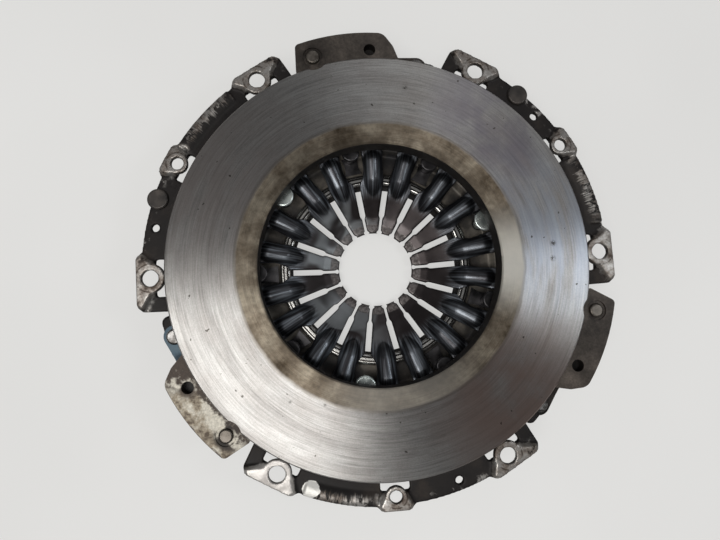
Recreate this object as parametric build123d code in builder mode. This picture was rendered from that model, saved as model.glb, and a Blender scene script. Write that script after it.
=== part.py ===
from build123d import *

import os
from math import atan2, cos, hypot, radians, sin

os.makedirs("parts", exist_ok=True)

# Clutch pressure plate assembly for a 240 mm driven disc, push type.
# Frame: millimetres, origin on the clutch axis in the plane of the cover's mounting eyelets,
# +Z towards the flywheel, first bolt eyelet on +X, angles counted counter-clockwise seen from +Z.
# The assembly is drawn as it stands before it is bolted down: the plate at its foremost place.

# ---- Flywheel interface ----
BOLT_CIRCLE_R = 134.0
BOLT_HOLE_R = 4.8
DOWEL_HOLE_R = 3.65
SEGMENTS = 3
BOLT_TO_DOWEL = 30.0
BOLT_TO_BOLT = 60.0

# ---- Pressure plate casting ----
FRICTION_FACE_Z = 5.0
RING_OUTER_R = 124.4
RING_INNER_R = 71.7
RING_RIM_DEPTH = 8.2
RING_BODY_DEPTH = 14.0
RING_RECESS_DEPTH = 12.8
RING_BODY_STEP = 7.4
HEAD_TO_RECESS = 4.2
NOSE_R = 101.0
NOSE_WIDTH = 4.0
NOSE_CLEARANCE = 0.3
RING_EDGE_BREAK = 0.8
PLATE_TRAVEL = 5.0

# ---- Lugs on the casting ----
LUG_SET_BACK = 2.4
LUG_THICKNESS = 10.0
LUG_REACH = 17.4
LUG_TRAILING_ANGLE = 109.9
LUG_LEADING_ANGLE = 81.0
LUG_ROOT_SINK = 2.0
LUG_ROOT_FLARE_ANGLE = 1.0
LUG_TRAILING_NECK = 2.0
LUG_TRAILING_RAKE_ANGLE = 2.3
LUG_TRAILING_CORNER_R = 3.0
LUG_LEADING_NECK = 0.5
LUG_LEADING_CORNER_ANGLE = 4.6
LUG_LEADING_CORNER_DROP = 0.6
LUG_LEADING_CORNER_R = 7.0
LUG_SHOULDER_ANGLE = 1.9
LUG_SHOULDER_DROP = 8.4
LUG_SHOULDER_R = 5.0
STRAP_RIVET_R = 131.35
STRAP_RIVET_ANGLE = 104.35
LUG_HOLE_R = 3.6
LUG_HOLE_DEPTH = 7.0
LUG_HOLE_CIRCLE_R = 130.6
LUG_HOLE_ANGLE = 89.1
LUG_POCKET_MARGIN = 1.8
LUG_POCKET_DEPTH = 1.0
RIM_RELIEF_MARGIN = 5.0

# ---- Drive straps ----
STRAP_LEAVES = 3
LEAF_THICKNESS = 0.8
STRAP_WIDTH = 13.0
STRAP_ANCHOR_R = 129.0
STRAP_ANCHOR_ANGLE = 75.6
STRAP_END_OVERHANG = 6.8
STRAP_FLAT_END = 10.0
STRAP_DROP = 4.2
STRAP_RIVET_SHANK_R = 3.0
LUG_RIVET_HEAD_R = 4.2
LUG_RIVET_HEAD_HEIGHT = 2.0
ANCHOR_RIVET_HEAD_R = 4.8
ANCHOR_RIVET_HEAD_HEIGHT = 2.2
FORMED_HEAD_R = 4.6
FORMED_HEAD_HEIGHT = 2.2
RIVET_CLEARANCE = 0.1
HEAD_ROUND = 0.6

# ---- Fulcrum wires and the rivets that carry them ----
PIVOT_R = 78.6
WIRE_R = 1.6
WIRE_CLEARANCE = 0.05
SPACER_SHANK_R = 3.3
SPACER_TO_WIRE = 0.3
SPACER_HEAD_R = 5.5
STOP_HEAD_R = 6.6
SPACER_HEAD_HEIGHT = 1.8
HEAD_TO_PLATE = 0.3
OUTSIDE_HEAD_R = 5.8
OUTSIDE_HEAD_HEIGHT = 2.4
CLIP_THICKNESS = 1.4
CLIP_LENGTH = 11.4
CLIP_END_WIDTH = 11.0
CLIP_WAIST_WIDTH = 8.6
CLIP_GAP = 0.02
CLIP_TO_SEAT = 0.4

# ---- Diaphragm spring ----
FINGERS = 18
SPRING_THICKNESS = 2.6
SPRING_RIM_WIDTH = 27.9
SPRING_CONE_SLOPE = 0.238
FINGER_ROOT_R = 59.0
FINGER_ROOT_DROP = 3.5
FINGER_BEND_R = 34.4
FINGER_BEND_DROP = 15.1
FINGERTIP_BAND = 4.3
FINGERTIP_BAND_RISE = 0.3
FINGERTIP_R = 25.2
FINGERTIP_DROP = 16.9
SPRING_BEND_RADII = (4.0, 6.0, 8.0, 10.0)
FIRST_WINDOW_ANGLE = 20.0
TIP_SLOT_WIDTH = 1.6
FINGER_SLOT_WIDTH = 3.5
SLOT_FLARE_RUN = 1.0
TIP_CORNER = 1.0
RIVET_WINDOW_THROAT_R = 54.5
RIVET_WINDOW_NECK_WIDTH = 10.2
RIVET_WINDOW_SHOULDER_R = 63.5
RIVET_WINDOW_SHOULDER_WIDTH = 13.4
RIVET_WINDOW_WIDTH = 14.8
PLAIN_WINDOW_THROAT_R = 57.0
PLAIN_WINDOW_SHOULDER_R = 66.0
PLAIN_WINDOW_SHOULDER_WIDTH = 7.6
PLAIN_WINDOW_WIDTH = 10.4
WINDOW_CORNER_R = 2.5
BEAD_R = 6.4
BEAD_START_R = 58.5
BEAD_TAIL = 15.0
BEAD_INNER_TAIL = 11.5
BEAD_TAIL_FLARE = [(0.75, 0.35), (0.45, 1.0)]
BEAD_TAIL_INSET = 0.12
BEAD_TO_WIRE = 1.4
BEAD_ANGLE_FROM_WINDOW = 11.2

# ---- Pressed steel cover ----
SHEET = 3.5
FLANGE_DROP = 3.0
FLANGE_WIDTH = 5.7
WALL_TO_RING = 1.4
WALL_TO_RING_BODY = 2.2
WALL_SHOULDER_DROP = 8.6
WALL_SHOULDER_STEP = 0.4
WALL_FOOT_DROP = 0.5
SKIN_BEND_RADII = (3, 1, 1, 1, 7, 5, 3, 1)
DOME_TO_SPRING = 3.5
SHOULDER_TO_SPRING = 1.5
SHOULDER_HEIGHT = 1.4
SHOULDER_WIDTH = 6.5
SHOULDER_FOOT = 1.8
COLLAR_R = 54.3
COLLAR_EDGE = 1.2
COLLAR_EDGE_RUN = 4.0
COLLAR_END_Z = -43.0
SEAT_HALF = 2.0
SEAT_FOOT = 4.0
SEAT_ROOT = 1.0
BOLT_TONGUE_WALL = 3.8
DOWEL_TONGUE_WALL = 2.55
TONGUE_RELIEF = 2.4
TONGUE_ROOT = 2.5
EYELET_REACH = 7.9
EYELET_FLANK = 5.0
EYELET_FLANK_RUN = 2.0
EYELET_NEAR_SPREAD = 2.4
EYELET_FAR_SPREAD = 6.4
DOWEL_SPREAD = 0.8
EYELET_SLOPE = 35.0
EYELET_WALL = 2.2
EAR_MARGIN = 4.0
SEGMENT_OVERHANG = 9.05
WINDOW_END_SLANT = 1.4
LUG_WINDOW_CLEARANCE = 1.0
LEDGE_MARGIN = 6.4
LEDGE_END_ANGLE = 82.0
LEDGE_CORNER_R = 4.0
LEDGE_ROOT_INSET = 0.8
LEDGE_TAPER_ANGLE = 1.0
RIM_BEAD_START_ANGLE = 7.6
RIM_BEAD_ARC = 18.0
RIM_BEAD_WIDTH = 8.7
RIM_BEAD_HEIGHT = 2.0
RIM_BEAD_EDGE_HEIGHT = 1.4
RIM_BEAD_CREST_INSET = 3.7
RIM_BEAD_ROOT = 1.0
BALANCE_HOLE_R = 2.35
BALANCE_RIVET_CIRCLE_R = 136.5
BALANCE_HEAD_R = 6.2
BALANCE_HEAD_HEIGHT = 2.0
# Balance holes and rivets lie past a dowel: (dowel number, angle past it).
OPEN_BALANCE_HOLES = [(0, 10.3), (1, 17.2), (2, 16.4)]
BALANCE_RIVETS = [(0, 17.3), (1, 10.1)]

# ---- Sizes that follow ----
segment_pitch = 360 / SEGMENTS
window_pitch = 2 * 360 / FINGERS
finger_pitch = 360 / FINGERS

ring_body_outer_r = RING_OUTER_R - RING_BODY_STEP
ring_body_z = FRICTION_FACE_Z - RING_BODY_DEPTH
ring_rim_z = FRICTION_FACE_Z - RING_RIM_DEPTH
ring_recess_z = FRICTION_FACE_Z - RING_RECESS_DEPTH
lug_top_z = FRICTION_FACE_Z - LUG_SET_BACK
lug_underside_z = lug_top_z - LUG_THICKNESS
lug_outer_r = RING_OUTER_R + LUG_REACH
lug_root_r = ring_body_outer_r - LUG_ROOT_SINK

strap_pack = STRAP_LEAVES * LEAF_THICKNESS
ledge_z = lug_underside_z - strap_pack - STRAP_DROP

# The wires press the cone from both sides, under heads that the plate just clears at full travel.
half_spring = SPRING_THICKNESS / 2
cone_angle = atan2(SPRING_CONE_SLOPE, 1)
spring_half_rise = half_spring / cos(cone_angle)
wire_rise = (half_spring + WIRE_R) / cos(cone_angle) + WIRE_CLEARANCE
head_seat_z = ring_recess_z - PLATE_TRAVEL - HEAD_TO_PLATE - SPACER_HEAD_HEIGHT
plate_wire_z = head_seat_z - WIRE_CLEARANCE - WIRE_R
pivot_z = plate_wire_z - wire_rise
cover_wire_z = pivot_z - wire_rise
seat_z = cover_wire_z - WIRE_R - WIRE_CLEARANCE
spacer_circle_r = PIVOT_R - WIRE_R - SPACER_TO_WIRE - SPACER_SHANK_R
ring_recess_outer_r = spacer_circle_r + STOP_HEAD_R + HEAD_TO_RECESS

spring_outer_r = PIVOT_R + SPRING_RIM_WIDTH
nose_outer_r = NOSE_R + NOSE_WIDTH / 2
spring_top_at_nose_z = pivot_z + SPRING_CONE_SLOPE * (nose_outer_r - PIVOT_R) + spring_half_rise
nose_z = spring_top_at_nose_z + NOSE_CLEARANCE
finger_root_z = pivot_z - FINGER_ROOT_DROP
finger_bend_z = pivot_z - FINGER_BEND_DROP
fingertip_z = pivot_z - FINGERTIP_DROP

flange_top_z = -FLANGE_DROP
flange_underside_z = flange_top_z - SHEET
flange_rim_r = BOLT_CIRCLE_R + FLANGE_WIDTH
wall_top_r = RING_OUTER_R + WALL_TO_RING
wall_foot_r = ring_body_outer_r + WALL_TO_RING_BODY
dome_outer_r = spring_outer_r + DOME_TO_SPRING
tongue_root_r = BOLT_CIRCLE_R - TONGUE_ROOT
eyelet_rim_r = BOLT_CIRCLE_R + EYELET_REACH
eyelet_flank_r = BOLT_CIRCLE_R + EYELET_FLANK
window_start_angle = BOLT_TO_BOLT + SEGMENT_OVERHANG
window_end_angle = segment_pitch - SEGMENT_OVERHANG
lug_rivet_foot_z = lug_underside_z - strap_pack - FORMED_HEAD_HEIGHT
lug_window_floor_z = lug_rivet_foot_z - PLATE_TRAVEL - LUG_WINDOW_CLEARANCE
ledge_outer_r = STRAP_ANCHOR_R + LEDGE_MARGIN
ledge_root_r = wall_foot_r + LEDGE_ROOT_INSET
tongue_underside_z = -SHEET
relief_floor_z = ledge_z

STANDING = (Align.CENTER, Align.CENTER, Align.MIN)
HANGING = (Align.CENTER, Align.CENTER, Align.MAX)


def place(radius, angle, z=0.0):
    """The point at a radius and angle about the clutch axis."""
    return Vector(radius * cos(radians(angle)), radius * sin(radians(angle)), z)


def radial_plane(angle, z=0.0):
    """A plane level with the flange whose own x runs outwards at the angle."""
    return Plane(origin=(0, 0, z), x_dir=place(1, angle), z_dir=(0, 0, 1))


def section_plane(angle):
    """An upright plane through the axis: its own x runs outwards, its own y is +Z."""
    return Plane(origin=(0, 0, 0), x_dir=place(1, angle), z_dir=place(1, angle - 90))


def thirds(radius, angle, z=0.0):
    """One point on each of the three segments."""
    return [place(radius, angle + segment_pitch * k, z) for k in range(SEGMENTS)]


def rivet(top_z, bottom_z, shank_r, head, formed):
    """A rivet on the axis: head (radius, height) above top_z, formed head below bottom_z."""
    head_r, head_height = head
    formed_r, formed_height = formed
    with BuildPart() as piece:
        with Locations((0, 0, bottom_z)):
            Cylinder(shank_r, top_z - bottom_z, align=STANDING)
        with Locations((0, 0, top_z)):
            Cylinder(head_r, head_height, align=STANDING)
        fillet(piece.edges().group_by(Axis.Z)[-1], radius=HEAD_ROUND * head_height)
        with Locations((0, 0, bottom_z)):
            Cylinder(formed_r, formed_height, align=HANGING)
        chamfer(piece.edges().group_by(Axis.Z)[0], length=HEAD_ROUND * formed_height)
    return piece.part


def finish_piece(builder, name):
    """Label the piece and write it as a STEP file of its own."""
    builder.part.label = name
    export_step(builder.part, f"parts/{name}.step")


# ---- Lug: one cast ear of the pressure plate ----
with BuildPart() as lug:
    with BuildSketch(Plane.XY.offset(lug_underside_z)) as lug_outline:
        with BuildLine():
            root_start = place(lug_root_r, LUG_TRAILING_ANGLE - LUG_ROOT_FLARE_ANGLE)
            trailing_inner = place(RING_OUTER_R + LUG_TRAILING_NECK, LUG_TRAILING_ANGLE)
            trailing_corner = place(lug_outer_r, LUG_TRAILING_ANGLE - LUG_TRAILING_RAKE_ANGLE)
            leading_corner = place(
                lug_outer_r - LUG_LEADING_CORNER_DROP,
                LUG_LEADING_ANGLE + LUG_LEADING_CORNER_ANGLE,
            )
            leading_shoulder = place(
                lug_outer_r - LUG_SHOULDER_DROP,
                LUG_LEADING_ANGLE + LUG_SHOULDER_ANGLE,
            )
            leading_inner = place(RING_OUTER_R + LUG_LEADING_NECK, LUG_LEADING_ANGLE)
            root_end = place(lug_root_r, LUG_LEADING_ANGLE + LUG_ROOT_FLARE_ANGLE)
            crown = place(lug_outer_r, (LUG_LEADING_ANGLE + LUG_TRAILING_ANGLE) / 2)
            Polyline(root_start, trailing_inner, trailing_corner)
            ThreePointArc(trailing_corner, crown, leading_corner)
            Polyline(leading_corner, leading_shoulder, leading_inner, root_end, root_start)
        make_face()
        fillet(lug_outline.vertices().sort_by_distance(trailing_corner)[0], radius=LUG_TRAILING_CORNER_R)
        fillet(lug_outline.vertices().sort_by_distance(leading_corner)[0], radius=LUG_LEADING_CORNER_R)
        fillet(lug_outline.vertices().sort_by_distance(leading_shoulder)[0], radius=LUG_SHOULDER_R)
    extrude(amount=LUG_THICKNESS)

# ---- Pressure plate: friction ring with nose, recess and three lugs ----
with BuildPart() as pressure_plate:
    with BuildSketch(Plane.XZ):
        with BuildLine():
            Polyline(
                (RING_INNER_R, FRICTION_FACE_Z),
                (RING_OUTER_R, FRICTION_FACE_Z),
                (RING_OUTER_R, ring_rim_z),
                (ring_body_outer_r, ring_rim_z),
                (ring_body_outer_r, ring_body_z),
                (NOSE_R + NOSE_WIDTH, ring_body_z),
                (nose_outer_r, nose_z),
                (NOSE_R - NOSE_WIDTH / 2, nose_z),
                (NOSE_R - NOSE_WIDTH, ring_body_z),
                (ring_recess_outer_r, ring_body_z),
                (ring_recess_outer_r, ring_recess_z),
                (RING_INNER_R, ring_recess_z),
                close=True,
            )
        make_face()
    revolve(axis=Axis.Z)
    chamfer(pressure_plate.edges().group_by(Axis.Z)[-1], length=RING_EDGE_BREAK)
    with PolarLocations(0, SEGMENTS):
        add(lug.part)
    with Locations(*thirds(STRAP_RIVET_R, STRAP_RIVET_ANGLE, lug_top_z)):
        Cylinder(LUG_RIVET_HEAD_R + RIM_RELIEF_MARGIN, LUG_THICKNESS, align=STANDING, mode=Mode.SUBTRACT)
    with Locations(*thirds(STRAP_RIVET_R, STRAP_RIVET_ANGLE, lug_top_z - LUG_POCKET_DEPTH)):
        Cylinder(LUG_RIVET_HEAD_R + LUG_POCKET_MARGIN, LUG_POCKET_DEPTH, align=STANDING, mode=Mode.SUBTRACT)
    with Locations(*thirds(STRAP_RIVET_R, STRAP_RIVET_ANGLE)):
        Hole(STRAP_RIVET_SHANK_R + RIVET_CLEARANCE)
    with Locations(*thirds(LUG_HOLE_CIRCLE_R, LUG_HOLE_ANGLE, lug_top_z)):
        Hole(LUG_HOLE_R, depth=LUG_HOLE_DEPTH)
finish_piece(pressure_plate, "pressure_plate")

# ---- Diaphragm spring: coned disc, slots and windows between 18 embossed fingers ----


def spring_z(radius):
    """Height of the spring's mid-surface: the fingers fall steeper than the outer cone."""
    if radius >= PIVOT_R:
        return pivot_z + SPRING_CONE_SLOPE * (radius - PIVOT_R)
    if radius >= FINGER_ROOT_R:
        slope = (pivot_z - finger_root_z) / (PIVOT_R - FINGER_ROOT_R)
        return pivot_z + slope * (radius - PIVOT_R)
    slope = (finger_root_z - finger_bend_z) / (FINGER_ROOT_R - FINGER_BEND_R)
    return finger_root_z + slope * (radius - FINGER_ROOT_R)


neck_end_r = PIVOT_R - WIRE_R - BEAD_TO_WIRE - BEAD_R
neck_start = Vector(BEAD_START_R, 0, spring_z(BEAD_START_R) - half_spring)
neck_end = Vector(neck_end_r, 0, spring_z(neck_end_r) - half_spring)
finger_foot = Vector(FINGER_BEND_R, 0, finger_bend_z - half_spring)


def side_of(start, end):
    """An upright plane along a run on the spring's underside: its own x follows the run."""
    return Plane(origin=start, x_dir=end - start, z_dir=(0, -1, 0))


neck_side = side_of(neck_start, neck_end)
tail_side = side_of(finger_foot, neck_start)
neck_lie = Plane(origin=neck_start, x_dir=neck_side.x_dir, z_dir=neck_side.y_dir)
tail_lie = Plane(origin=neck_start, x_dir=tail_side.x_dir, z_dir=tail_side.y_dir)


def neck_bead(radius):
    """A round-ended bar whose axis lies on the underside of one finger's neck."""
    run = (neck_end - neck_start).length
    with BuildPart() as bead:
        with BuildSketch(neck_side):
            with Locations((run / 2, 0)):
                SlotCenterToCenter(run, 2 * radius)
            far_side = 2 * (run + 2 * radius)
            Rectangle(far_side, 2 * radius, align=(Align.CENTER, Align.MAX), mode=Mode.SUBTRACT)
        revolve(axis=Axis(neck_start, neck_end - neck_start))
    return bead.part


def tail_bead(neck_radius, length):
    """The bead's tail: it thins out along the finger, and its round end lies inside the neck's."""
    run = (neck_start - finger_foot).length
    radius = neck_radius - BEAD_TAIL_INSET
    with BuildPart() as tail:
        with BuildSketch(tail_side):
            with BuildLine():
                tip = (run - length, 0)
                shoulder = (run, radius)
                flare = [(run - along * length, share * radius) for along, share in BEAD_TAIL_FLARE]
                Bezier(tip, *flare, shoulder)
                RadiusArc(shoulder, (run + radius, 0), radius)
                Line((run + radius, 0), tip)
            make_face()
        revolve(axis=Axis(neck_start, neck_start - finger_foot))
    return tail.part


def finger_slot(window):
    """A slot along the local x axis: flared between the fingertips, and opening into its window."""
    tip_half = TIP_SLOT_WIDTH / 2
    upper = [
        (FINGERTIP_R - TIP_CORNER, tip_half + 2 * TIP_CORNER),
        (FINGERTIP_R + TIP_CORNER, tip_half),
        (FINGER_BEND_R, tip_half),
        (FINGER_BEND_R + SLOT_FLARE_RUN, FINGER_SLOT_WIDTH / 2),
        *window,
    ]
    lower = [(x, -y) for x, y in reversed(upper)]
    with BuildSketch() as slot:
        with BuildLine():
            Polyline(*upper, *lower, close=True)
        make_face()
        fillet(slot.vertices().group_by(Axis.X)[-1], radius=WINDOW_CORNER_R)
    return slot.sketch


slot_half = FINGER_SLOT_WIDTH / 2
rivet_window = [
    (RIVET_WINDOW_THROAT_R, slot_half),
    (FINGER_ROOT_R, RIVET_WINDOW_NECK_WIDTH / 2),
    (RIVET_WINDOW_SHOULDER_R, RIVET_WINDOW_SHOULDER_WIDTH / 2),
    (PIVOT_R, RIVET_WINDOW_WIDTH / 2),
]
plain_window = [
    (PLAIN_WINDOW_THROAT_R, slot_half),
    (PLAIN_WINDOW_SHOULDER_R, PLAIN_WINDOW_SHOULDER_WIDTH / 2),
    (PIVOT_R, PLAIN_WINDOW_WIDTH / 2),
]
rivet_windows = [FIRST_WINDOW_ANGLE + window_pitch * k for k in range(FINGERS // 2)]
bead_planes = [radial_plane(a + BEAD_ANGLE_FROM_WINDOW) for a in rivet_windows]
bead_planes += [radial_plane(a - BEAD_ANGLE_FROM_WINDOW) for a in rivet_windows]
with BuildPart() as outer_bead:
    add(neck_bead(BEAD_R))
    split(bisect_by=neck_lie.offset(half_spring), keep=Keep.TOP)
with BuildPart() as outer_tail:
    add(tail_bead(BEAD_R, BEAD_TAIL))
    split(bisect_by=tail_lie.offset(half_spring), keep=Keep.TOP)
inner_radius = BEAD_R - SPRING_THICKNESS

with BuildPart() as diaphragm_spring:
    with BuildSketch(Plane.XZ):
        with BuildLine():
            spring_line = FilletPolyline(
                (FINGERTIP_R, fingertip_z),
                (FINGERTIP_R + FINGERTIP_BAND, fingertip_z + FINGERTIP_BAND_RISE),
                (FINGER_BEND_R, finger_bend_z),
                (FINGER_ROOT_R, finger_root_z),
                (PIVOT_R, pivot_z),
                (spring_outer_r, spring_z(spring_outer_r)),
                radius=SPRING_BEND_RADII,
            )
            offset(spring_line, amount=half_spring, side=Side.BOTH)
        make_face()
    revolve(axis=Axis.Z)
    with Locations(*bead_planes):
        add(outer_bead.part)
        add(outer_tail.part)
    with Locations(*bead_planes):
        add(neck_bead(inner_radius), mode=Mode.SUBTRACT)
        add(tail_bead(inner_radius, BEAD_INNER_TAIL), mode=Mode.SUBTRACT)
    with BuildSketch(Plane.XY.offset(fingertip_z - 2 * SPRING_THICKNESS)):
        with PolarLocations(0, FINGERS // 2, start_angle=FIRST_WINDOW_ANGLE):
            add(finger_slot(rivet_window))
        with PolarLocations(0, FINGERS // 2, start_angle=FIRST_WINDOW_ANGLE + finger_pitch):
            add(finger_slot(plain_window))
    extrude(amount=-fingertip_z, mode=Mode.SUBTRACT)
finish_piece(diaphragm_spring, "diaphragm_spring")

# ---- Fulcrum wires: one ring on each side of the spring ----


def wire_ring(height):
    """A ring of round wire at the pivot radius."""
    with BuildPart() as ring:
        with BuildSketch(Plane.XZ):
            with Locations((PIVOT_R, height)):
                Circle(WIRE_R)
        revolve(axis=Axis.Z)
    return ring


finish_piece(wire_ring(plate_wire_z), "fulcrum_ring_plate_side")
finish_piece(wire_ring(cover_wire_z), "fulcrum_ring_cover_side")

# ---- Rivets that hold the wires and the spring on the cover ----
collar_top_r = COLLAR_R + COLLAR_EDGE
finger_angle = atan2(finger_root_z - finger_bend_z, FINGER_ROOT_R - FINGER_BEND_R)
shoulder_z = spring_z(collar_top_r) - half_spring / cos(finger_angle) - SHOULDER_TO_SPRING
dome_z = shoulder_z - SHOULDER_HEIGHT
dome_underside_z = dome_z - SHEET
outside_head = (OUTSIDE_HEAD_R, OUTSIDE_HEAD_HEIGHT)
stop_angles = [FIRST_WINDOW_ANGLE + segment_pitch * k for k in range(SEGMENTS)]
spacer_angles = [angle for angle in rivet_windows if angle not in stop_angles]

spacer_rivet = rivet(
    head_seat_z, dome_underside_z, SPACER_SHANK_R, (SPACER_HEAD_R, SPACER_HEAD_HEIGHT), outside_head
)
with BuildPart() as spacer_rivets:
    with Locations(*[place(spacer_circle_r, angle) for angle in spacer_angles]):
        add(spacer_rivet)
finish_piece(spacer_rivets, "spacer_rivets")

stop_rivet = rivet(
    head_seat_z, dome_underside_z, SPACER_SHANK_R, (STOP_HEAD_R, SPACER_HEAD_HEIGHT), outside_head
)
with BuildPart() as stop_rivets:
    with Locations(*[place(spacer_circle_r, angle) for angle in stop_angles]):
        add(stop_rivet)
finish_piece(stop_rivets, "stop_rivets")

# ---- Retaining clips: forked saddles on the dome, one round each dark rivet ----
clip_outer_r = PIVOT_R - SEAT_FOOT - CLIP_TO_SEAT
clip_inner_r = clip_outer_r - CLIP_LENGTH
with BuildPart() as clip:
    with BuildSketch(Plane.XY.offset(dome_z + CLIP_GAP)) as clip_outline:
        with BuildLine():
            waist = Vector((clip_inner_r + clip_outer_r) / 2, CLIP_WAIST_WIDTH / 2)
            inner_corner = Vector(clip_inner_r, CLIP_END_WIDTH / 2)
            outer_corner = Vector(clip_outer_r, CLIP_END_WIDTH / 2)
            upper_side = ThreePointArc(inner_corner, waist, outer_corner)
            Line(outer_corner, (clip_outer_r, -CLIP_END_WIDTH / 2))
            mirror(upper_side, about=Plane.XZ)
            Line((clip_inner_r, -CLIP_END_WIDTH / 2), inner_corner)
        make_face()
        with Locations((spacer_circle_r, 0)):
            Circle(SPACER_SHANK_R + RIVET_CLEARANCE, mode=Mode.SUBTRACT)
    extrude(amount=CLIP_THICKNESS)
with BuildPart() as retaining_clips:
    with Locations(*[radial_plane(angle) for angle in spacer_angles]):
        add(clip.part)
finish_piece(retaining_clips, "retaining_clips")

# ---- Drive straps: three packs of leaves from the cover's ledges to the lugs ----
strap_start = place(STRAP_RIVET_R, STRAP_RIVET_ANGLE)
strap_end = place(STRAP_ANCHOR_R, STRAP_ANCHOR_ANGLE)
strap_span = (strap_end - strap_start).length
strap_top_plane = Plane(origin=strap_start, x_dir=strap_end - strap_start, z_dir=(0, 0, 1))
strap_side_plane = Plane(
    origin=strap_start,
    x_dir=strap_end - strap_start,
    z_dir=(strap_end - strap_start).cross(Vector(0, 0, 1)),
)
leaf_length = strap_span + 2 * STRAP_END_OVERHANG


def strap_leaf(top_z):
    """One leaf: flat at both rivets, sloping between them, with rounded ends and two holes."""
    level = [
        (-STRAP_END_OVERHANG, top_z),
        (STRAP_FLAT_END, top_z),
        (strap_span - STRAP_FLAT_END, top_z - STRAP_DROP),
        (strap_span + STRAP_END_OVERHANG, top_z - STRAP_DROP),
    ]
    under = [(x, z - LEAF_THICKNESS) for x, z in reversed(level)]
    with BuildPart() as leaf:
        with BuildSketch(strap_side_plane):
            with BuildLine():
                Polyline(*level, *under, close=True)
            make_face()
        extrude(amount=STRAP_WIDTH, both=True)
        with BuildSketch(strap_top_plane):
            with Locations((strap_span / 2, 0)):
                SlotOverall(leaf_length, STRAP_WIDTH)
            with Locations((0, 0), (strap_span, 0)):
                Circle(STRAP_RIVET_SHANK_R + RIVET_CLEARANCE, mode=Mode.SUBTRACT)
        extrude(amount=4 * ledge_z, mode=Mode.INTERSECT)
    return leaf.part


for k in range(SEGMENTS):
    for i in range(STRAP_LEAVES):
        with BuildPart() as strap:
            with Locations(radial_plane(segment_pitch * k)):
                add(strap_leaf(lug_underside_z - i * LEAF_THICKNESS))
        finish_piece(strap, f"strap_{k + 1}_leaf_{i + 1}")

lug_rivet = rivet(
    lug_top_z - LUG_POCKET_DEPTH,
    lug_underside_z - strap_pack,
    STRAP_RIVET_SHANK_R,
    (LUG_RIVET_HEAD_R, LUG_RIVET_HEAD_HEIGHT),
    (FORMED_HEAD_R, FORMED_HEAD_HEIGHT),
)
with BuildPart() as lug_rivets:
    with Locations(*thirds(STRAP_RIVET_R, STRAP_RIVET_ANGLE)):
        add(lug_rivet)
finish_piece(lug_rivets, "lug_rivets")

anchor_rivet = rivet(
    ledge_z + strap_pack,
    ledge_z - SHEET,
    STRAP_RIVET_SHANK_R,
    (ANCHOR_RIVET_HEAD_R, ANCHOR_RIVET_HEAD_HEIGHT),
    (FORMED_HEAD_R, FORMED_HEAD_HEIGHT),
)
with BuildPart() as strap_anchor_rivets:
    with Locations(*thirds(STRAP_ANCHOR_R, STRAP_ANCHOR_ANGLE)):
        add(anchor_rivet)
finish_piece(strap_anchor_rivets, "strap_anchor_rivets")

# ---- Balance rivets in the flange ----


def past_dowels(radius, spots):
    """Points at a radius, each given as a dowel's number and the angle past it."""
    return [place(radius, BOLT_TO_DOWEL + segment_pitch * k + past) for k, past in spots]


balance_rivet = rivet(
    flange_top_z,
    flange_top_z - SHEET,
    BALANCE_HOLE_R - RIVET_CLEARANCE,
    (BALANCE_HEAD_R, BALANCE_HEAD_HEIGHT),
    (FORMED_HEAD_R, FORMED_HEAD_HEIGHT),
)
with BuildPart() as balance_rivets:
    with Locations(*past_dowels(BALANCE_RIVET_CIRCLE_R, BALANCE_RIVETS)):
        add(balance_rivet)
finish_piece(balance_rivets, "balance_rivets")

# ---- Cover: one pressing, built from its rolled section, eyelets, windows and ledges ----


def eyelet_top(tongue_r, far_corner, near_corner):
    """Raised level of an eyelet: a round tongue widening to the rim. Local x outwards, hole on x."""
    far_shoulder = (eyelet_flank_r, far_corner + EYELET_FLANK_RUN)
    near_shoulder = (eyelet_flank_r, -near_corner - EYELET_FLANK_RUN)
    with BuildSketch() as outline:
        with BuildLine():
            Polyline(
                (BOLT_CIRCLE_R, tongue_r),
                far_shoulder,
                (eyelet_rim_r, far_corner),
                (eyelet_rim_r, -near_corner),
                near_shoulder,
                (BOLT_CIRCLE_R, -tongue_r),
                close=True,
            )
        make_face()
        with Locations((BOLT_CIRCLE_R, 0)):
            Circle(tongue_r)
    return outline.sketch


def tongue_relief(tongue_r, keep_tongue):
    """The see-through slot round a tongue, open towards the axis and ending at the tongue's root."""
    outer_r = tongue_r + TONGUE_RELIEF
    with BuildSketch() as outline:
        with Locations((BOLT_CIRCLE_R, 0)):
            Circle(outer_r)
            Rectangle(2 * outer_r, 2 * outer_r, align=(Align.MAX, Align.CENTER))
            if keep_tongue:
                Circle(tongue_r, mode=Mode.SUBTRACT)
        with Locations((tongue_root_r, 0)):
            Rectangle(3 * outer_r, 4 * outer_r, align=(Align.MIN, Align.CENTER), mode=Mode.SUBTRACT)
    return outline.sketch


def lug_window(first_angle, last_angle):
    """A flat outline over one lug's window, from inside the wall to outside the rim."""
    reach = eyelet_rim_r + SHEET
    with BuildSketch() as outline:
        with BuildLine():
            middle = (first_angle + last_angle) / 2
            Polyline(
                place(dome_outer_r, first_angle + WINDOW_END_SLANT),
                place(wall_top_r, first_angle),
                place(reach, first_angle - WINDOW_END_SLANT),
                place(2 * reach, middle),
                place(reach, last_angle + WINDOW_END_SLANT),
                place(wall_top_r, last_angle),
                place(dome_outer_r, last_angle - WINDOW_END_SLANT),
                close=True,
            )
        make_face()
    return outline.sketch


def eyelet_ear(far_half, near_half):
    """Flange-level ear that carries the raised eyelet out to its rim."""
    with BuildSketch() as outline:
        with BuildLine():
            Polyline(
                (tongue_root_r, far_half + EAR_MARGIN),
                (eyelet_flank_r, far_half + EAR_MARGIN),
                (eyelet_rim_r, far_half),
                (eyelet_rim_r, -near_half),
                (eyelet_flank_r, -near_half - EAR_MARGIN),
                (tongue_root_r, -near_half - EAR_MARGIN),
                close=True,
            )
        make_face()
    return outline.sketch


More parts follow.
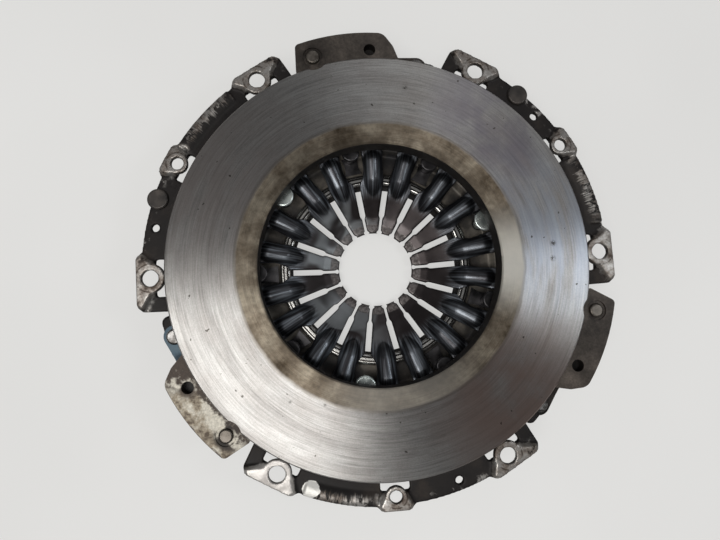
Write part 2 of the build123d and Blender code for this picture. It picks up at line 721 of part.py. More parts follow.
def eyelet_pad(top):
    """The raised pad: sloping flanks down to the flange, cut straight at the rim."""
    with BuildPart() as pad:
        with BuildSketch():
            add(top)
        extrude(amount=flange_top_z, taper=-EYELET_SLOPE)
        with BuildSketch():
            add(top)
        extrude(amount=tongue_underside_z)
        with BuildSketch(Plane.XY.offset(tongue_underside_z)):
            with Locations((eyelet_rim_r, 0)):
                Rectangle(eyelet_rim_r, eyelet_rim_r, align=(Align.MAX, Align.CENTER))
        extrude(amount=SHEET, mode=Mode.INTERSECT)
    return pad.part


def at_ledge_rim(vertex):
    """True at the two outer corners of a ledge."""
    return hypot(vertex.X, vertex.Y) > (ledge_root_r + ledge_outer_r) / 2


with BuildSketch() as ledge_outline:
    with BuildLine():
        Polyline(
            place(ledge_root_r, window_start_angle),
            place(ledge_outer_r, window_start_angle + LEDGE_TAPER_ANGLE),
            place(ledge_outer_r, LEDGE_END_ANGLE - LEDGE_TAPER_ANGLE),
            place(ledge_root_r, LEDGE_END_ANGLE),
            close=True,
        )
    make_face()

# (angle of the hole on the segment, hole radius, tongue radius, rim reach on each side)
bolt_tongue_r = BOLT_HOLE_R + BOLT_TONGUE_WALL
bolt_near_half = bolt_tongue_r + EYELET_NEAR_SPREAD
bolt_far_half = bolt_tongue_r + EYELET_FAR_SPREAD
dowel_tongue_r = DOWEL_HOLE_R + DOWEL_TONGUE_WALL
dowel_half = dowel_tongue_r + DOWEL_SPREAD
eyelets = [
    (0.0, BOLT_HOLE_R, bolt_tongue_r, bolt_near_half, bolt_far_half),
    (BOLT_TO_DOWEL, DOWEL_HOLE_R, dowel_tongue_r, dowel_half, dowel_half),
    (BOLT_TO_BOLT, BOLT_HOLE_R, bolt_tongue_r, bolt_far_half, bolt_near_half),
]

bead_foot_r = flange_rim_r - RIM_BEAD_WIDTH
bead_crest_r = flange_rim_r - RIM_BEAD_CREST_INSET
bead_root_z = flange_top_z - RIM_BEAD_ROOT

with BuildPart() as cover:
    with BuildSketch(Plane.XZ):
        with BuildLine():
            skin = FilletPolyline(
                (COLLAR_R, COLLAR_END_Z),
                (COLLAR_R, shoulder_z - COLLAR_EDGE_RUN),
                (collar_top_r, shoulder_z),
                (COLLAR_R + SHOULDER_WIDTH, shoulder_z),
                (COLLAR_R + SHOULDER_WIDTH + SHOULDER_FOOT, dome_z),
                (dome_outer_r, dome_z),
                (wall_foot_r, ledge_z - WALL_FOOT_DROP),
                (wall_top_r - WALL_SHOULDER_STEP, -WALL_SHOULDER_DROP),
                (wall_top_r, flange_top_z),
                (flange_rim_r, flange_top_z),
                radius=SKIN_BEND_RADII,
            )
            offset(skin, amount=SHEET, side=Side.RIGHT)
        make_face()
        with BuildLine():
            Polyline(
                (PIVOT_R - SEAT_FOOT, dome_z - SEAT_ROOT),
                (PIVOT_R - SEAT_FOOT, dome_z),
                (PIVOT_R - SEAT_HALF, seat_z),
                (PIVOT_R + SEAT_HALF, seat_z),
                (PIVOT_R + SEAT_FOOT, dome_z),
                (PIVOT_R + SEAT_FOOT, dome_z - SEAT_ROOT),
                close=True,
            )
        make_face()
    revolve(axis=Axis.Z)
    # Windows in the wall for the lugs, deeper where the lug itself travels.
    with BuildSketch(Plane.XY.offset(ledge_z)):
        with PolarLocations(0, SEGMENTS):
            add(lug_window(window_start_angle, window_end_angle))
    extrude(amount=-2 * ledge_z, mode=Mode.SUBTRACT)
    with BuildSketch(Plane.XY.offset(lug_window_floor_z)):
        with PolarLocations(0, SEGMENTS):
            add(lug_window(LEDGE_END_ANGLE, window_end_angle))
    extrude(amount=ledge_z - lug_window_floor_z, mode=Mode.SUBTRACT)
    # Ledges that the strap packs are riveted to.
    with BuildSketch(Plane.XY.offset(ledge_z - SHEET)) as ledges:
        with PolarLocations(0, SEGMENTS):
            add(ledge_outline.sketch)
        fillet(ledges.vertices().filter_by(at_ledge_rim), radius=LEDGE_CORNER_R)
    extrude(amount=SHEET)
    # Eyelets: ears at flange level, raised pads, relief slots, hollow undersides and holes.
    for angle, hole_r, tongue_r, far_half, near_half in eyelets:
        on_segments = PolarLocations(0, SEGMENTS, start_angle=angle)
        top = eyelet_top(tongue_r, far_half, near_half)
        with BuildSketch(Plane.XY.offset(flange_underside_z)):
            with on_segments:
                add(eyelet_ear(far_half, near_half))
        extrude(amount=SHEET)
        with on_segments:
            add(eyelet_pad(top))
        with BuildSketch(Plane.XY.offset(tongue_underside_z)):
            with on_segments:
                add(tongue_relief(tongue_r, keep_tongue=True))
        extrude(amount=2 * SHEET, mode=Mode.SUBTRACT)
        with BuildSketch(Plane.XY.offset(relief_floor_z)):
            with on_segments:
                add(tongue_relief(tongue_r, keep_tongue=False))
        extrude(amount=tongue_underside_z - relief_floor_z, mode=Mode.SUBTRACT)
        with BuildSketch(Plane.XY.offset(flange_underside_z)):
            with on_segments:
                add(offset(top, amount=-EYELET_WALL, mode=Mode.PRIVATE))
        extrude(amount=tongue_underside_z - flange_underside_z, mode=Mode.SUBTRACT)
        with Locations(*thirds(BOLT_CIRCLE_R, angle)):
            Hole(hole_r)
    # Stiffening bead along the rim between each first bolt and its dowel.
    for k in range(SEGMENTS):
        with BuildSketch(section_plane(segment_pitch * k + RIM_BEAD_START_ANGLE)):
            with BuildLine():
                bead_foot = (bead_foot_r, flange_top_z)
                bead_crest = (bead_crest_r, flange_top_z + RIM_BEAD_HEIGHT)
                bead_rim = (flange_rim_r, flange_top_z + RIM_BEAD_EDGE_HEIGHT)
                ThreePointArc(bead_foot, bead_crest, bead_rim)
                Polyline(bead_rim, (flange_rim_r, bead_root_z), (bead_foot_r, bead_root_z), bead_foot)
            make_face()
        revolve(axis=Axis.Z, revolution_arc=RIM_BEAD_ARC)
    # Rivet holes and open balance holes.
    with Locations(*[place(spacer_circle_r, angle) for angle in rivet_windows]):
        Hole(SPACER_SHANK_R + RIVET_CLEARANCE)
    with Locations(*thirds(STRAP_ANCHOR_R, STRAP_ANCHOR_ANGLE)):
        Hole(STRAP_RIVET_SHANK_R + RIVET_CLEARANCE)
    with Locations(*past_dowels(BALANCE_RIVET_CIRCLE_R, BALANCE_RIVETS)):
        Hole(BALANCE_HOLE_R)
    with Locations(*past_dowels(BOLT_CIRCLE_R, OPEN_BALANCE_HOLES)):
        Hole(BALANCE_HOLE_R)
finish_piece(cover, "cover")
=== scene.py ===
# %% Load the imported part
import math

import bpy
from mathutils import Matrix, Vector


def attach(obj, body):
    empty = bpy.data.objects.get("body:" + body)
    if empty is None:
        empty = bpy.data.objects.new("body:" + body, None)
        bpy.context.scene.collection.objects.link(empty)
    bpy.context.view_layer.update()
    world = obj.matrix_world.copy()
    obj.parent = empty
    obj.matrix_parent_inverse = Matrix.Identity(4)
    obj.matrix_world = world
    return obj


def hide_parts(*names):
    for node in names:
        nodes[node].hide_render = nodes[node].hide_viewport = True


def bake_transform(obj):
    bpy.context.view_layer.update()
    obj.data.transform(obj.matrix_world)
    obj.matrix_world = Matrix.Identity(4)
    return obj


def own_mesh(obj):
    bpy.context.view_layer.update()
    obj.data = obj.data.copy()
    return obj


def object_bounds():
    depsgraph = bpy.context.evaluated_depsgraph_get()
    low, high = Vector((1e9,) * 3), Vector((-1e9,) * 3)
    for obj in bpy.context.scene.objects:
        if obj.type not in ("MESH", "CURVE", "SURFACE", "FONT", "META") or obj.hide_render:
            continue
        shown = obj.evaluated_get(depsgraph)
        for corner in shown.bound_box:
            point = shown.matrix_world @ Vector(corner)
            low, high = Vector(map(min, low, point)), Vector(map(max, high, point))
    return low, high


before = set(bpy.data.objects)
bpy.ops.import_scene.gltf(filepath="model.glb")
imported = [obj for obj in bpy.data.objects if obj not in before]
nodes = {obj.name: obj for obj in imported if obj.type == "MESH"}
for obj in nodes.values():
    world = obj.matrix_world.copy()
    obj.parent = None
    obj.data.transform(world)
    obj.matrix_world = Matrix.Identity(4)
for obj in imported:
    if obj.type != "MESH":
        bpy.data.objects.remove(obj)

cad_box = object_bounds()
print("nodes:", len(nodes), "size in mm:", [round(1000 * s) for s in cad_box[1] - cad_box[0]])

# %% [markdown]
# A clutch pressure plate lies friction face up. The frame is the part's own: metres, the origin
# on the clutch axis level with the bolting eyelets, +Z out of the friction face. Everything round
# the axis is easiest to say as a radius in millimetres and an angle, so the first helper turns
# them into a place, and the rivets and the hole of the first lug are named that way.

# %% Places round the clutch axis
MM = 0.001
SEGMENTS = 3
EYELET_CIRCLE_MM = 134.0
LUG_RIVET = (131.35, 104.35)
LUG_HOLE = (130.6, 89.1)
ANCHOR_RIVET = (129.0, 75.6)


def around(radius_mm, angle, height_mm=0.0):
    """The point at a radius and an angle about the clutch axis."""
    turn = math.radians(angle)
    return Vector((radius_mm * math.cos(turn), radius_mm * math.sin(turn), height_mm)) * MM


segment_turns = [k * 360 / SEGMENTS for k in range(SEGMENTS)]
print("segments start at", segment_turns)

# %% [markdown]
# The camera hangs nearly straight above the part and a little off its axis, close enough to see
# down past the friction ring to the fingers. Its three axes are written out, because a look-at
# rule would lose the slight roll. The lens is a wide phone lens on a 36 mm wide frame.

# %% Camera
EYE = Vector((-0.0298, -0.0272, 0.3051))
EYE_RIGHT = Vector((0.99650, -0.06545, 0.05188))
EYE_UP = Vector((0.06099, 0.99464, 0.08345))
eye_back = EYE_RIGHT.cross(EYE_UP)
lens = bpy.data.cameras.new("overhead")
lens.lens = 26.0
lens.sensor_width = 36.0
lens.clip_start = 0.01
overhead = bpy.data.objects.new("overhead", lens)
bpy.context.scene.collection.objects.link(overhead)
turned = Matrix((EYE_RIGHT, EYE_UP, eye_back)).transposed().to_4x4()
overhead.matrix_world = Matrix.Translation(EYE) @ turned
bpy.context.scene.camera = overhead
print("camera height in mm:", round(1000 * EYE.z))

# %% [markdown]
# Materials are built from nodes. A finish is mostly layers: a base colour, then wear, dirt or a
# tint laid over it through a mask. Writing each layer as one short line keeps a finish readable,
# so this small class wraps the nodes that every finish uses. All patterns read Object
# coordinates: each piece sits at the origin, so they are the part's own places in metres.

# %% A small kit for finishes
FOLD_START = -11.0
FOLD_END = FOLD_START + 360 / SEGMENTS


class Finish:
    """One material while it is being built: each method adds a node and returns its output."""

    def __init__(self, name):
        self.material = bpy.data.materials.new(name)
        self.material.use_nodes = True
        self.tree = self.material.node_tree
        self.shader = self.tree.nodes["Principled BSDF"]
        self.place = self.node("ShaderNodeTexCoord").outputs["Object"]
        axes = self.node("ShaderNodeSeparateXYZ", self.place).outputs
        self.x, self.y, self.z = axes
        x_squared = self.math("MULTIPLY", self.x, self.x)
        squares = self.math("ADD", x_squared, self.math("MULTIPLY", self.y, self.y))
        self.radius = self.math("SQRT", squares)
        self.turn = self.math("ARCTAN2", self.y, self.x)
        self.flat = self.vector(self.x, self.y, 0.0)

    def feed(self, socket, value):
        """Link an output to a socket, or set a plain value on it."""
        if isinstance(value, bpy.types.NodeSocket):
            self.tree.links.new(value, socket)
        elif socket.type == "RGBA":
            socket.default_value = (value, value, value, 1) if isinstance(value, float) else (*value, 1)
        else:
            socket.default_value = value

    def node(self, kind, *values, **settings):
        made = self.tree.nodes.new(kind)
        for key, setting in settings.items():
            setattr(made, key, setting)
        for socket, value in zip(made.inputs, values):
            if value is not None:
                self.feed(socket, value)
        return made

    def math(self, operation, a, b=0.0, c=0.0):
        return self.node("ShaderNodeMath", a, b, c, operation=operation).outputs[0]

    def vector(self, x, y, z):
        return self.node("ShaderNodeCombineXYZ", x, y, z).outputs[0]

    def step(self, value, start, end, low=0.0, high=1.0):
        """Smooth step from low at start to high at end."""
        return self.node(
            "ShaderNodeMapRange", value, start, end, low, high, interpolation_type="SMOOTHSTEP"
        ).outputs[0]

    def edge(self, value, start_mm, end_mm):
        """A soft edge along a distance: 0 at start, 1 at end, both in millimetres."""
        return self.step(value, start_mm * MM, end_mm * MM)

    def stray(self, value, pattern, spread_mm):
        """A distance pushed about by a noise, so that an edge drawn on it wanders."""
        return self.math("MULTIPLY_ADD", self.math("SUBTRACT", pattern, 0.5), spread_mm * MM, value)

    def faint(self, mask, amount):
        """A mask at part of its strength."""
        return self.math("MULTIPLY", mask, amount)

    def noise(self, scale, detail=3.0, rough=0.55, place=None, distortion=0.0):
        made = self.node("ShaderNodeTexNoise")
        self.feed(made.inputs["Vector"], self.place if place is None else place)
        self.feed(made.inputs["Scale"], scale)
        self.feed(made.inputs["Detail"], detail)
        self.feed(made.inputs["Roughness"], rough)
        self.feed(made.inputs["Distortion"], distortion)
        return made.outputs[0]

    def ramp(self, value, *stops):
        """Colour ramp: each stop is (position, colour), a colour being a grey or three numbers."""
        made = self.node("ShaderNodeValToRGB", value)
        scale = made.color_ramp
        while len(scale.elements) < len(stops):
            scale.elements.new(0.5)
        for element, (position, colour) in zip(scale.elements, stops):
            element.position = position
            colour = (colour,) * 3 if isinstance(colour, float) else colour
            element.color = (*colour, 1)
        return made.outputs[0]

    def layer(self, mask, under, over):
        """The under colour, covered by the over colour where the mask is 1."""
        made = self.node("ShaderNodeMix", data_type="RGBA")
        self.feed(made.inputs[0], mask)
        self.feed(made.inputs[6], under)
        self.feed(made.inputs[7], over)
        return made.outputs[2]

    def tint(self, under, over, amount=1.0):
        """Multiply one colour by another."""
        made = self.node("ShaderNodeMix", data_type="RGBA", blend_type="MULTIPLY")
        self.feed(made.inputs[0], amount)
        self.feed(made.inputs[6], under)
        self.feed(made.inputs[7], over)
        return made.outputs[2]

    def polar(self, turns, per_metre):
        """A place with its own pace along a circle and across it, for grooves and streaks."""
        wide = self.math("MULTIPLY", self.math("COSINE", self.turn), turns)
        high = self.math("MULTIPLY", self.math("SINE", self.turn), turns)
        return self.vector(wide, high, self.math("MULTIPLY", self.radius, per_metre))

    def fold(self):
        """The same place in the first segment, so that one spot marks every segment."""
        turn = self.math("WRAP", self.turn, math.radians(FOLD_END), math.radians(FOLD_START))
        wide = self.math("MULTIPLY", self.math("COSINE", turn), self.radius)
        high = self.math("MULTIPLY", self.math("SINE", turn), self.radius)
        return self.vector(wide, high, 0.0)

    def away(self, radius_mm, angle, place=None):
        """Distance from a place round the axis."""
        centre = tuple(around(radius_mm, angle))
        start = self.flat if place is None else place
        return self.node("ShaderNodeVectorMath", start, centre, operation="DISTANCE").outputs[1]

    def spot(self, radius_mm, angle, reach_mm, soft_mm=3.0, place=None):
        """A mask that is 1 within reach of a place round the axis."""
        return self.edge(self.away(radius_mm, angle, place), reach_mm + soft_mm, reach_mm - soft_mm)

    def both(self, *masks):
        """Where all the masks overlap."""
        made = masks[0]
        for mask in masks[1:]:
            made = self.math("MULTIPLY", made, mask)
        return made

    def any(self, *masks):
        """Where at least one of the masks lies."""
        made = masks[0]
        for mask in masks[1:]:
            made = self.math("MAXIMUM", made, mask)
        return made

    def surface(self, colour, metallic, roughness, height=None, depth=0.0, strength=1.0):
        self.feed(self.shader.inputs["Base Color"], colour)
        self.feed(self.shader.inputs["Metallic"], metallic)
        self.feed(self.shader.inputs["Roughness"], roughness)
        if height is not None:
            bump = self.node("ShaderNodeBump")
            self.feed(bump.inputs["Height"], height)
            bump.inputs["Distance"].default_value = depth
            bump.inputs["Strength"].default_value = strength
            self.feed(self.shader.inputs["Normal"], bump.outputs[0])
        return self.material


def wear(piece, material):
    """Give a piece one finish in all its slots."""
    piece.data.materials.clear()
    piece.data.materials.append(material)


print("finish kit ready")

# %% [markdown]
# The friction ring is grey iron, ground flat and then polished in circles by the disc. Its fine
# grooves run round the axis, so a highlight spreads across them into a bright wedge. Two things
# give that: a bump and colour noise that hardly change along a circle but change fast across it,
# and an anisotropic gloss that is stretched outwards, across the grooves. Four sides of the face
# are tinged a little darker in different tones: bluish, violet, reddish and brown.

# %% Ground friction face
PIT = (0.05, 0.042, 0.036)
DEEP_PIT = (0.04, 0.036, 0.032)
PIT_CLUSTERS = (
    (103.2, 3.3, 1.4),
    (102.2, -1.7, 1.3),
    (106.9, 78.3, 1.0),
    (94.3, 232.9, 0.5),
    (86.8, 244.5, 0.5),
)
ring = Finish("ground_iron")
grooves = ring.noise(2.2, 6.0, 0.7, ring.polar(1.0, 900.0))
scratches = ring.noise(2.0, 3.0, 0.6, ring.polar(3.0, 520.0))
bands = ring.noise(2.0, 4.0, 0.6, ring.polar(1.0, 60.0))
arcs = ring.noise(2.0, 2.0, 0.5, ring.polar(0.7, 260.0))
clouds = ring.noise(26.0, 4.0, 0.6)
patches = ring.noise(60.0, 5.0, 0.6)
specks = ring.noise(420.0, 2.0, 0.6)
grit = ring.noise(1500.0, 3.0, 0.7)


def tinge(under, pattern, place, amount, colour):
    """Lay a colour over one side of the face, through a pattern."""
    side = ring.both(ring.spot(*place), pattern)
    return ring.layer(ring.faint(side, amount), under, colour)


polished = ring.ramp(
    bands, (0.3, (0.41, 0.395, 0.38)), (0.55, (0.46, 0.45, 0.435)), (0.75, (0.51, 0.505, 0.49))
)
polished = ring.tint(polished, ring.ramp(grooves, (0.3, 0.66), (0.7, 1.0)))
polished = ring.tint(polished, ring.ramp(scratches, (0.36, 0.80), (0.5, 0.96), (0.62, 1.0)))
polished = ring.tint(polished, ring.ramp(grit, (0.35, 0.84), (0.6, 1.0)))
polished = ring.tint(polished, ring.ramp(patches, (0.3, (0.90, 0.88, 0.87)), (0.6, 1.0)))
# Four side tinges, each a darker tone laid over one side of the face through a pattern.
blue_tinge = ring.step(bands, 0.3, 0.6)
polished = tinge(polished, blue_tinge, (106.0, 8.0, 40.0, 34.0), 0.6, (0.34, 0.38, 0.46))
violet = ring.step(clouds, 0.35, 0.6)
polished = tinge(polished, violet, (112.0, 46.0, 38.0, 26.0), 0.7, (0.18, 0.165, 0.20))
reddish = ring.step(clouds, 0.25, 0.6)
polished = tinge(polished, reddish, (108.0, -50.0, 40.0, 26.0), 0.8, (0.28, 0.20, 0.17))
brown = ring.step(bands, 0.25, 0.6)
polished = tinge(polished, brown, (110.0, 150.0, 46.0, 34.0), 0.55, (0.30, 0.255, 0.235))
polished = ring.tint(polished, ring.ramp(arcs, (0.36, 0.92), (0.44, 1.0), (0.58, 1.0), (0.66, 1.07)))
pits = ring.step(ring.noise(330.0, 1.0, 0.5), 0.765, 0.785)
polished = ring.layer(ring.faint(pits, 0.8), polished, PIT)
for radius_mm, angle, reach_mm in PIT_CLUSTERS:
    cluster = ring.both(ring.spot(radius_mm, angle, reach_mm, 1.2), ring.step(grit, 0.44, 0.5))
    polished = ring.layer(cluster, polished, DEEP_PIT)
print("ground face: nodes so far", len(ring.tree.nodes))

# %% [markdown]
# The disc never touches the innermost band, so that keeps a tan, mottled skin from the foundry,
# turned once but never polished. Soot creeps in from the bore, and a thin dark line of dust lies
# where the polished track begins. The track's edge wanders a little with the mottle.

# %% Tan band inside the worn track
WORN_FROM_MM = 84.0
tan_skin = ring.ramp(
    patches, (0.3, (0.09, 0.066, 0.042)), (0.46, (0.25, 0.203, 0.15)), (0.66, (0.45, 0.39, 0.30))
)
tan_skin = ring.tint(tan_skin, ring.ramp(specks, (0.3, 0.78), (0.55, 1.0)))
tan_skin = ring.tint(tan_skin, ring.ramp(grooves, (0.32, 0.66), (0.62, 1.0)))
tan_skin = ring.tint(tan_skin, ring.ramp(bands, (0.4, 0.82), (0.55, 1.0), (0.68, 1.12)))
tan_skin = ring.tint(tan_skin, ring.ramp(clouds, (0.35, 0.74), (0.6, 1.0)))
inner_soot = ring.both(ring.edge(ring.radius, 79.0, 71.5), ring.step(patches, 0.6, 0.4))
tan_skin = ring.layer(ring.faint(inner_soot, 0.7), tan_skin, (0.085, 0.068, 0.05))
pale_right = ring.spot(79.0, -2.0, 22.0, 17.0)
pale_below = ring.faint(ring.spot(78.0, 278.0, 34.0, 22.0), 0.45)
paler = ring.faint(ring.any(pale_right, pale_below), 0.75)
tan_skin = ring.layer(paler, tan_skin, (0.62, 0.595, 0.54))

track = ring.stray(ring.radius, patches, 2.4)
worn = ring.edge(track, WORN_FROM_MM - 0.8, WORN_FROM_MM + 1.2)
dust_line = ring.both(worn, ring.edge(track, WORN_FROM_MM + 2.2, WORN_FROM_MM + 0.8))
face_colour = ring.layer(worn, tan_skin, polished)
face_colour = ring.layer(ring.faint(dust_line, 0.45), face_colour, (0.14, 0.115, 0.085))
print("worn track starts at", WORN_FROM_MM, "mm")

# %% [markdown]
# The lugs and the flanks keep the brown cast skin. One lug, which mirrors the main window, is
# painted a cream, stained skin that is partly a painted highlight. Soot gathers round its rivet
# and its hole and at both ends; along its rim and in the groove at its root the darkening is soot
# and painted shade.
# Each lug's rivet sits in a dark ring of old oil. The blind holes and the bore's wall are painted
# nearly black, as painted shade.

# %% Cast skin of the lugs
WINDOW_LIT_LUG = (131.0, 215.0)
WINDOW_LIT_LUG_TURN = 120.0
OLD_OIL = (0.03, 0.024, 0.02)
SOOT_AND_SHADE = (0.085, 0.06, 0.044)
UNLIT = (0.012, 0.010, 0.009)
cast_grain = ring.noise(900.0, 4.0, 0.65)
stains = ring.noise(110.0, 5.0, 0.62)
cast_skin = ring.ramp(
    clouds, (0.3, (0.05, 0.041, 0.035)), (0.5, (0.10, 0.083, 0.070)), (0.72, (0.20, 0.166, 0.14))
)
cast_skin = ring.tint(cast_skin, ring.ramp(stains, (0.36, 0.6), (0.56, 1.0), (0.7, 1.25)))
cream = ring.ramp(
    stains, (0.34, (0.14, 0.10, 0.066)), (0.43, (0.50, 0.42, 0.31)), (0.54, (0.92, 0.86, 0.73))
)
across_lug = ring.stray(ring.radius, stains, 9.0)
# Darker along the lug's rim and its root: soot, and painted shade in the groove at the root.
soot_and_root_shade = ring.any(ring.edge(across_lug, 140.4, 141.6), ring.edge(across_lug, 128.2, 126.4))
sooty_ends = ring.any(ring.spot(133.0, 204.0, 11.0, 4.0), ring.spot(127.0, 226.0, 9.0, 4.0))
sooty_hole = ring.spot(LUG_HOLE[0], LUG_HOLE[1] + WINDOW_LIT_LUG_TURN, 5.5, 2.5)
sooty_rivet = ring.spot(129.5, 225.6, 8.5, 2.0)
soot_and_shade_marks = ring.any(sooty_hole, sooty_rivet, soot_and_root_shade, sooty_ends)
cream = ring.layer(ring.both(soot_and_shade_marks, ring.step(stains, 0.64, 0.5)), cream, SOOT_AND_SHADE)
# The cream lug is partly a painted highlight, where it mirrors the main window.
window_lit_lug = ring.spot(*WINDOW_LIT_LUG, 34.0, 6.0)
cast_skin = ring.layer(window_lit_lug, cast_skin, cream)

first = ring.fold()
oily_rivet = ring.both(ring.spot(*LUG_RIVET, 7.0, 2.5, first), ring.step(stains, 0.6, 0.45))
cast_skin = ring.layer(oily_rivet, cast_skin, OLD_OIL)
cast_skin = ring.tint(cast_skin, ring.ramp(cast_grain, (0.3, 0.6), (0.7, 1.0)))
# Painted shade: the bore's wall and the blind holes take the unlit colour.
bore_wall_shade = ring.faint(ring.edge(ring.radius, 73.5, 72.0), 0.8)
blind_hole_shade = ring.both(ring.spot(*LUG_HOLE, 3.7, 0.2, first), ring.edge(ring.z, 2.3, 1.6))
cast_skin = ring.layer(ring.any(bore_wall_shade, blind_hole_shade), cast_skin, UNLIT)
print("cast skin: nodes so far", len(ring.tree.nodes))

# %% [markdown]
# The casting is one piece, so its finish is one material: height tells the ground face from the
# cast skin. The grooves' direction is a tangent that points outwards from the axis at each place.

# %% The casting's finish
FACE_MM = 5.0
on_face = ring.edge(ring.z, FACE_MM - 1.6, FACE_MM - 0.4)
relief = ring.math("ADD", grooves, ring.math("ADD", scratches, grit))
iron = ring.surface(
    ring.layer(on_face, cast_skin, face_colour),
    ring.layer(on_face, ring.layer(window_lit_lug, 0.45, 0.15), ring.layer(worn, 0.8, 1.0)),
    ring.layer(on_face, 0.52, ring.layer(worn, 0.46, ring.ramp(bands, (0.3, 0.34), (0.7, 0.30)))),
    ring.layer(on_face, cast_grain, ring.layer(worn, specks, relief)),
    depth=0.05 * MM,
    strength=0.3,
)
ring.shader.inputs["Anisotropic"].default_value = 0.9
outwards = ring.node("ShaderNodeVectorMath", ring.flat, operation="NORMALIZE")
ring.feed(ring.shader.inputs["Tangent"], outwards.outputs[0])
wear(nodes["pressure_plate"], iron)
print("casting finished")

# %% [markdown]
# Pressed sheet has no sharp corner anywhere: the die rolls every edge over. The solids have plain
# corners, so a copy of a pressed piece is merged, rebuilt in fine even cells, relaxed, and thinned
# again. The next helpers do that, and each softened copy takes its solid's place.

# %% Copies of CAD nodes
MERGE_WITHIN_MM = 0.005


def merged_copy(node_name, piece_name):
    """A free copy of a CAD node with its loose triangles merged."""
    bpy.ops.object.select_all(action="DESELECT")
    piece = bpy.data.objects.new(piece_name, nodes[node_name].data.copy())
    piece.data.name = piece_name
    bpy.context.scene.collection.objects.link(piece)
    piece.select_set(True)
    bpy.context.view_layer.objects.active = piece
    if piece.data.has_custom_normals:
        bpy.ops.mesh.customdata_custom_splitnormals_clear()
    bpy.ops.object.mode_set(mode="EDIT")
    bpy.ops.mesh.select_all(action="SELECT")
    bpy.ops.mesh.remove_doubles(threshold=MERGE_WITHIN_MM * MM)
    bpy.ops.object.mode_set(mode="OBJECT")
    return piece


def apply_modifier(piece, kind, **settings):
    """Add one modifier to the active piece and apply it."""
    modifier = piece.modifiers.new(kind.title(), kind)
    for key, setting in settings.items():
        setattr(modifier, key, setting)
    bpy.ops.object.modifier_apply(modifier=modifier.name)


def triangles(piece):
    return sum(len(p.vertices) - 2 for p in piece.data.polygons)


def soften(piece, cell_mm, rounds, limit):
    """Rebuild a piece in even cells, relax its creases and thin it below a triangle limit."""
    apply_modifier(piece, "REMESH", mode="VOXEL", voxel_size=cell_mm * MM)
    apply_modifier(piece, "SMOOTH", factor=0.5, iterations=rounds)
    apply_modifier(piece, "TRIANGULATE")
    count = triangles(piece)
    if count > limit:
        apply_modifier(piece, "DECIMATE", ratio=limit / count)
    bpy.ops.object.shade_smooth()
    print(piece.name, "triangles:", count, "->", triangles(piece))


print("copy helpers ready")

# %% [markdown]
# The cover is pressed from steel sheet and black-coated. Where it was bolted to the flywheel, on
# the raised eyelets, the coating is rubbed off to brownish bare metal, and each bolt and dowel
# has left a dark print round its hole. One eyelet, which mirrors the main window, is painted much
# lighter than the others, with no print: rubbed bare metal and a painted highlight.

# %% Coating and bare steel of the cover
PRINT = (0.07, 0.055, 0.045)
HIGHLIT_BARE_STEEL = (0.56, 0.535, 0.51)
HIGHLIT_EYELET_ANGLE = 240.0
# Each eyelet: angle, reach of its raised form, reach of the rubbed ring, edge of the print.
EYELETS = ((0, 18.0, 10.5, 8.0), (30, 12.0, 8.0, 6.2), (60, 18.0, 10.5, 8.0))
cover = Finish("black_pressed_steel")
clouds = cover.noise(45.0, 4.0, 0.6)
stains = cover.noise(120.0, 5.0, 0.65)
grain = cover.noise(700.0, 4.0, 0.6)
first = cover.fold()
coat = cover.ramp(
    clouds, (0.3, (0.009, 0.008, 0.008)), (0.55, (0.018, 0.015, 0.014)), (0.75, (0.045, 0.036, 0.030))
)
bare = cover.ramp(
    stains,
    (0.32, (0.10, 0.075, 0.06)),
    (0.42, (0.27, 0.23, 0.20)),
    (0.54, (0.44, 0.41, 0.38)),
    (0.68, (0.60, 0.58, 0.55)),
)
bare = cover.tint(bare, cover.ramp(grain, (0.3, 0.62), (0.65, 1.0)))
bare = cover.tint(bare, cover.ramp(clouds, (0.35, 0.7), (0.6, 1.0)))

whole_eyelets, rubbed_rings, prints = [], [], []
for angle, whole_mm, rubbed_mm, print_mm in EYELETS:
    whole_eyelets.append(cover.spot(EYELET_CIRCLE_MM, angle, whole_mm, 1.5, first))
    rubbed_rings.append(cover.spot(EYELET_CIRCLE_MM, angle, rubbed_mm, 2.0, first))
    from_hole = cover.away(EYELET_CIRCLE_MM, angle, first)
    inner_side = cover.edge(from_hole, print_mm - 0.7, print_mm)
    outer_side = cover.edge(from_hole, print_mm + 0.9, print_mm)
    prints.append(cover.both(inner_side, outer_side))
# The lighter eyelet: bare steel painted lighter as a painted highlight, where it mirrors the main
# window.
highlit_eyelet = cover.spot(EYELET_CIRCLE_MM, HIGHLIT_EYELET_ANGLE, 15.0, 4.0)
bare = cover.layer(cover.faint(highlit_eyelet, 0.7), bare, HIGHLIT_BARE_STEEL)
elsewhere = cover.math("SUBTRACT", 1.0, highlit_eyelet)
printed = cover.both(cover.any(*prints), cover.step(stains, 0.56, 0.46), elsewhere)
bare = cover.layer(printed, bare, PRINT)
print("eyelets in each segment:", len(EYELETS))

# %% [markdown]
# Height above the flange drives the eyelets' wear, and noise breaks its edge. Between the first
# bolt and the dowel of each segment the rim is scuffed: two stretched noises, one coarse and one
# fine along the circle, leave torn radial streaks. The rest of the rim is rubbed here and there,
# and one patch is scraped to white metal.

# %% Where the cover is worn
WHITE_METAL = (0.90, 0.88, 0.83)
SCUFF_PLACE = (139.0, 16.5)
SCRAPED_PLACE = (134.6, 249.0)
streaks = cover.noise(2.6, 4.0, 0.6, cover.polar(14.0, 60.0))
across = cover.noise(3.0, 3.0, 0.6, cover.polar(60.0, 40.0))
high_up = cover.edge(cover.stray(cover.z, stains, 4.0), -2.6, -1.2)
stained_eyelet = cover.both(cover.any(*whole_eyelets), cover.step(stains, 0.36, 0.44))
on_eyelet = cover.both(high_up, cover.any(*rubbed_rings, stained_eyelet))

